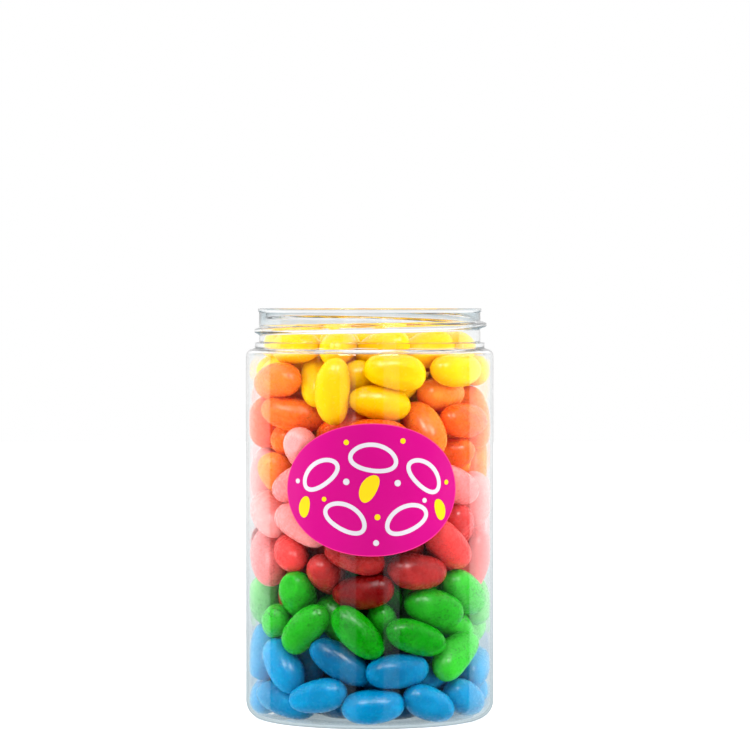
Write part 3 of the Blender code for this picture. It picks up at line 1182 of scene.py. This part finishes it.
CAMERA_DISTANCE = 1.45
CAMERA_ASIDE = 0.002
CAMERA_TILT = radians(-1.0)
CAMERA_LENS = 183.3
KEY_AZIMUTHS = (radians(-24), radians(20))
KEY_HEIGHT = radians(41)
KEY_SIZE = 0.36
FILLS = {"left": (radians(-82), 1.0), "right": (radians(82), 1.15)}
FILL_HEIGHT = radians(8)
FILL_SIZE = 0.8
LIGHT_DISTANCE = 1.3
FLOOR_RADIUS = 3.0
FLOOR_LIFT = 0.5

# The white panels round the jar: azimuth in degrees from the camera, and brightness
SURROUNDINGS = (
    (0, 0.0),
    (12.5, 0.0),
    (13, 0.36),
    (27.5, 0.36),
    (28, 0.0),
    (29.5, 0.0),
    (30, 0.06),
    (84, 0.10),
    (103, 0.30),
    (104, 0.05),
    (106.5, 0.05),
    (107, 1.1),
    (150, 1.0),
    (165, 0.9),
)
GROUND = (0.63, 0.75, 0.80)
CEILING = 1.2
FRONT_CEILING = 0.25


def make_floor(settings):
    """A round floor that glows a little for the camera alone."""
    bm = bmesh.new()
    bmesh.ops.create_circle(bm, cap_ends=True, radius=FLOOR_RADIUS, segments=128)
    material, tree, shader = new_material("pale_floor")
    seen = add(tree, "LightPath").outputs["Is Camera Ray"]
    look = {
        "Base Color": blended(tree, grain(tree, 8), settings.floor, dimmed(settings.floor, 0.985)),
        "Roughness": 0.7,
        "Emission Color": (*grey(1.0), 1.0),
        "Emission Strength": worked_out(tree, "MULTIPLY", seen, FLOOR_LIFT),
    }
    feed(tree, shader, look)
    floor = finished("floor", bm, material)
    floor.visible_glossy = False
    floor.visible_transmission = False


def make_surroundings(strength):
    """A white studio that is darker towards the camera, with two pale strips beside it."""
    world = bpy.data.worlds.new("studio")
    world.use_nodes = True
    tree = world.node_tree
    way = add(tree, "TexCoord").outputs["Generated"]
    parts = add(tree, "SeparateXYZ", {"Vector": way})
    forwards = worked_out(tree, "MULTIPLY", parts.outputs["Y"], -1.0)
    turn = worked_out(tree, "ARCTAN2", parts.outputs["X"], forwards)
    turn = worked_out(tree, "DIVIDE", worked_out(tree, "ABSOLUTE", turn), pi)
    panels = add(tree, "ValToRGB", {"Fac": turn})
    stops = panels.color_ramp.elements
    while len(stops) < len(SURROUNDINGS):
        stops.new(1.0)
    for stop, (azimuth, brightness) in zip(stops, SURROUNDINGS):
        stop.position = azimuth / 180
        stop.color = (*grey(brightness), 1.0)
    overhead = ranged(tree, parts.outputs["Z"], 0.07, 0.3)
    to_front = ranged(tree, forwards, -0.1, 0.4)
    ceiling = blended(tree, to_front, grey(CEILING), grey(FRONT_CEILING))
    light = blended(tree, overhead, panels.outputs["Color"], ceiling)
    below = ranged(tree, parts.outputs["Z"], -0.02, -0.12)
    shade = blended(tree, below, grey(1.0), GROUND)
    light = blended(tree, 1.0, light, shade, blend_type="MULTIPLY")
    seen = add(tree, "LightPath").outputs["Is Camera Ray"]
    colour = blended(tree, seen, light, grey(1.0))
    backdrop = tree.nodes["Background"]
    tree.links.new(colour, backdrop.inputs["Color"])
    backdrop.inputs["Strength"].default_value = strength
    bpy.context.scene.world = world


def make_light(name, azimuth, height, size, power):
    """A square soft light that points at the middle of the jar."""
    lamp = bpy.data.lights.new(name, "AREA")
    lamp.size = size
    lamp.energy = power
    light = in_scene(name, lamp)
    middle = Vector((0, 0, HEIGHT / 2))
    level, rise = LIGHT_DISTANCE * cos(height), LIGHT_DISTANCE * sin(height)
    light.location = middle + around(level, azimuth, rise)
    light.rotation_euler = (middle - light.location).to_track_quat("-Z", "Y").to_euler()
    light.visible_camera = False
    light.visible_transmission = False
    return light


def make_lights(settings):
    """Two high front lights that give soft highlights, and broad low ones that give none."""
    for side, azimuth in zip(("left", "right"), KEY_AZIMUTHS):
        make_light(f"{side}_key", azimuth, KEY_HEIGHT, KEY_SIZE, settings.key_power)
    for side, (azimuth, share) in FILLS.items():
        power = settings.fill_power * share
        fill = make_light(f"{side}_fill", azimuth, FILL_HEIGHT, FILL_SIZE, power)
        fill.visible_glossy = False


def make_camera():
    camera = in_scene("camera", bpy.data.cameras.new("camera"))
    camera.location = (CAMERA_ASIDE, -CAMERA_DISTANCE, HEIGHT)
    camera.rotation_euler = (pi / 2 + CAMERA_TILT, 0, 0)
    camera.data.lens = CAMERA_LENS
    camera.data.clip_start = 0.01
    bpy.context.scene.camera = camera


# The add-on


class BEANJAR_OT_jar(bpy.types.Operator):
    """Make the clear jar with its screw neck"""

    bl_idname = "beanjar.jar"
    bl_label = "Clear Jar"
    bl_options = {"REGISTER", "UNDO"}

    def execute(self, context):
        make_jar(context.scene.beanjar_jar)
        return {"FINISHED"}


class BEANJAR_OT_beans(bpy.types.Operator):
    """Pour the jelly beans and let them settle, one piece for each colour"""

    bl_idname = "beanjar.beans"
    bl_label = "Jelly Beans"
    bl_options = {"REGISTER", "UNDO"}

    def execute(self, context):
        make_beans(context.scene.beanjar_beans, context.scene.beanjar_jar.wall)
        return {"FINISHED"}


class BEANJAR_OT_cores(bpy.types.Operator):
    """Make the lumpy core of each layer, behind the beans"""

    bl_idname = "beanjar.cores"
    bl_label = "Layer Cores"
    bl_options = {"REGISTER", "UNDO"}

    def execute(self, context):
        make_cores()
        return {"FINISHED"}


class BEANJAR_OT_label(bpy.types.Operator):
    """Make the oval label with its printed beans and dots"""

    bl_idname = "beanjar.label"
    bl_label = "Oval Label"
    bl_options = {"REGISTER", "UNDO"}

    def execute(self, context):
        make_label(context.scene.beanjar_label)
        return {"FINISHED"}


class BEANJAR_OT_stage(bpy.types.Operator):
    """Make the pale floor, the studio light and the camera"""

    bl_idname = "beanjar.stage"
    bl_label = "Stage"
    bl_options = {"REGISTER", "UNDO"}

    def execute(self, context):
        settings = context.scene.beanjar_stage
        make_floor(settings)
        make_surroundings(settings.surroundings)
        make_lights(settings)
        make_camera()
        context.scene.view_settings.view_transform = "Standard"
        return {"FINISHED"}


class BEANJAR_PT_panel(bpy.types.Panel):
    """The jar's pieces and their settings"""

    bl_idname = "BEANJAR_PT_panel"
    bl_label = "Bean Jar"
    bl_space_type = "VIEW_3D"
    bl_region_type = "UI"
    bl_category = "Bean Jar"

    def draw(self, context):
        for name, _, operators in GROUPS:
            box = self.layout.box()
            settings = getattr(context.scene, name)
            for setting in settings.__annotations__:
                box.prop(settings, setting)
            for operator in operators:
                box.operator(operator.bl_idname)


GROUPS = (
    ("beanjar_jar", JarSettings, (BEANJAR_OT_jar,)),
    ("beanjar_beans", BeanSettings, (BEANJAR_OT_beans, BEANJAR_OT_cores)),
    ("beanjar_label", LabelSettings, (BEANJAR_OT_label,)),
    ("beanjar_stage", StageSettings, (BEANJAR_OT_stage,)),
)


def register():
    for name, settings, operators in GROUPS:
        for cls in (settings, *operators):
            bpy.utils.register_class(cls)
        setattr(bpy.types.Scene, name, PointerProperty(type=settings))
    bpy.utils.register_class(BEANJAR_PT_panel)


def unregister():
    bpy.utils.unregister_class(BEANJAR_PT_panel)
    for name, settings, operators in reversed(GROUPS):
        delattr(bpy.types.Scene, name)
        for cls in (*operators, settings):
            bpy.utils.unregister_class(cls)


def main():
    register()
    bpy.ops.beanjar.jar()
    bpy.ops.beanjar.beans()
    bpy.ops.beanjar.cores()
    bpy.ops.beanjar.label()
    bpy.ops.beanjar.stage()


if __name__ == "__main__":
    main()
